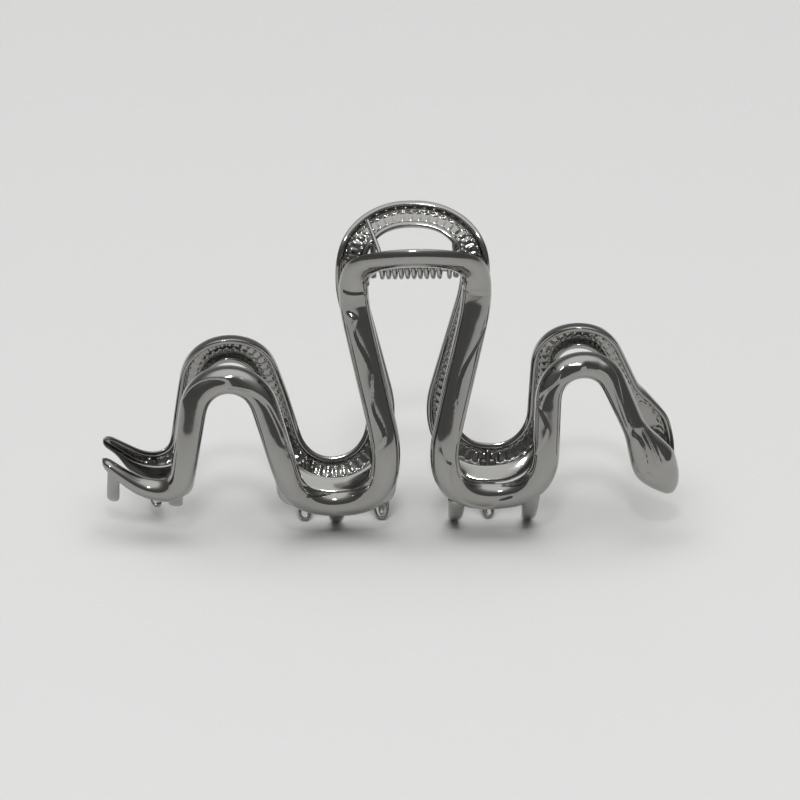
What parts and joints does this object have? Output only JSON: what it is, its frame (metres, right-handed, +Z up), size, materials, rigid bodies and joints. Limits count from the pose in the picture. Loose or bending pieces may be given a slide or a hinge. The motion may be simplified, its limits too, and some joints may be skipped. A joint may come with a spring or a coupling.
{
  "type": "hair claw clip",
  "caption": "Sprung metal hair claw clip: two mirrored wavy snake-shaped jaws with curved teeth, tall finger loops and a torsion spring on a hinge pin.",
  "frame": {"origin": "centre of the bounding box's bottom face, on the table under the tooth tips", "axes": "+X from the tail towards the snake's head along the hinge pin, +Y from the front jaw towards the rear jaw, +Z up from the tooth tips to the finger loops"},
  "size_m": [0.1048, 0.0252, 0.0584],
  "materials": {
    "jaw_casting": "polished dark gunmetal plating over a die-cast zinc alloy",
    "pin_steel": "plated steel pin",
    "spring_steel": "plated spring wire"
  },
  "bodies": {
    "rear_half": {"rear_jaw": "jaw_casting", "hinge_pin": "pin_steel", "spring_coil": "spring_steel", "spring_leg_rear": "spring_steel"},
    "front_half": {"front_jaw": "jaw_casting", "spring_leg_front": "spring_steel"}
  },
  "joints": [
    {"name": "hinge", "type": "hinge", "parent": "rear_half", "child": "front_half", "pos_m": [0.0045, 0, 0.05], "axis": [-1, 0, 0], "range_deg": [0, 80], "stiffness_Nm_per_rad": 0.17, "springref_deg": -34.38}
  ]
}
